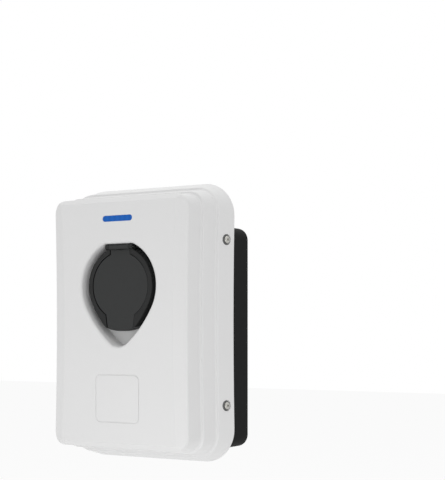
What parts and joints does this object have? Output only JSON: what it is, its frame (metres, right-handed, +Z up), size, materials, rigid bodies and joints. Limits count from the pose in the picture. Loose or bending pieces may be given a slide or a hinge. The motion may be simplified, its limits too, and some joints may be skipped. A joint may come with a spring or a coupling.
{
  "type": "wall charging unit for electric vehicles",
  "caption": "Wall-mounted vehicle charger: stepped white cover with a lidded round socket in a teardrop recess, a blue status bar and a black rear housing.",
  "frame": {"origin": "centre of the four wall holes, on the wall plane", "axes": "+Y into the wall, +Z up, +X to the right of someone facing the unit"},
  "size_m": [0.2, 0.108, 0.2898],
  "materials": {
    "white_shell": "satin white moulding",
    "black_housing": "fine matt texture",
    "black_socket": "satin black moulding",
    "black_lid": "satin black moulding",
    "insulator": "glass-filled, matt",
    "seal_rubber": "soft black",
    "stainless": "bright",
    "spring_steel": "drawn wire",
    "plated_contact": "silver plated",
    "brass": "turned",
    "zinc_screw": "zinc plated",
    "circuit_board": "solder resist",
    "relay_case": "black case",
    "terminal_plastic": "grey moulding",
    "module_case": "potted module",
    "can": "drawn can",
    "surge_blue": "dipped coat",
    "header_white": "natural nylon",
    "rotor_white": "white rotor",
    "light_diffuser": "translucent, lit blue",
    "wire_insulation": "flexible insulation"
  },
  "bodies": {
    "housing": {"front_cover": "white_shell", "base_housing": "black_housing", "cover_seal": "seal_rubber", "cover_screws": "stainless", "cover_screw_washers": "seal_rubber", "cover_screw_inserts": "brass", "supply_grommet": "seal_rubber", "blanking_plug": "black_housing", "vent_plug": "black_housing", "power_board": "circuit_board", "board_screws": "zinc_screw", "supply_terminal": "terminal_plastic", "terminal_screws": "zinc_screw", "current_sensor": "module_case", "power_supply_module": "module_case", "surge_discs": "surge_blue", "board_pillars": "brass", "control_board": "circuit_board", "pillar_screws": "zinc_screw", "radio_module": "can", "control_header": "header_white", "current_selector": "module_case", "reader_board": "circuit_board", "light_board": "circuit_board", "light_pipe": "light_diffuser", "socket_housing": "black_socket", "socket_gasket": "seal_rubber", "socket_screws": "zinc_screw", "contact_insert": "insulator", "contact_carrier_plate": "insulator", "insert_screws": "zinc_screw", "retaining_ring": "black_socket", "hinge_pin": "stainless", "lid_spring": "spring_steel", "lock_body": "relay_case", "lock_screws": "zinc_screw", "socket_leads": "wire_insulation", "power_relay_1": "relay_case", "power_relay_2": "relay_case", "power_relay_3": "relay_case", "power_relay_4": "relay_case", "capacitor_1": "can", "capacitor_2": "can", "capacitor_3": "can", "contact_neutral": "plated_contact", "contact_signal_left": "plated_contact", "contact_signal_right": "plated_contact", "contact_line_1": "plated_contact", "contact_line_2": "plated_contact", "contact_line_3": "plated_contact", "contact_earth": "plated_contact"},
    "lid": {"lid": "black_lid", "lid_seal": "seal_rubber"},
    "lock_pin": {"lock_pin": "stainless"},
    "selector": {"selector_rotor": "rotor_white"}
  },
  "joints": [
    {"name": "lid_hinge", "type": "hinge", "parent": "housing", "child": "lid", "pos_m": [0, -0.1034, 0.0933], "axis": [-1, 0, 0], "range_deg": [0, 110], "stiffness_Nm_per_rad": 0.02, "springref_deg": -28.65, "deforming": ["lid_spring"]},
    {"name": "lock_slide", "type": "slide", "parent": "housing", "child": "lock_pin", "axis": [-1, 0, 0], "range_m": [0, 0.0045]},
    {"name": "selector_turn", "type": "hinge", "parent": "housing", "child": "selector", "pos_m": [0.034, 0, -0.052], "axis": [0, -1, 0], "range_deg": [0, 324]}
  ]
}
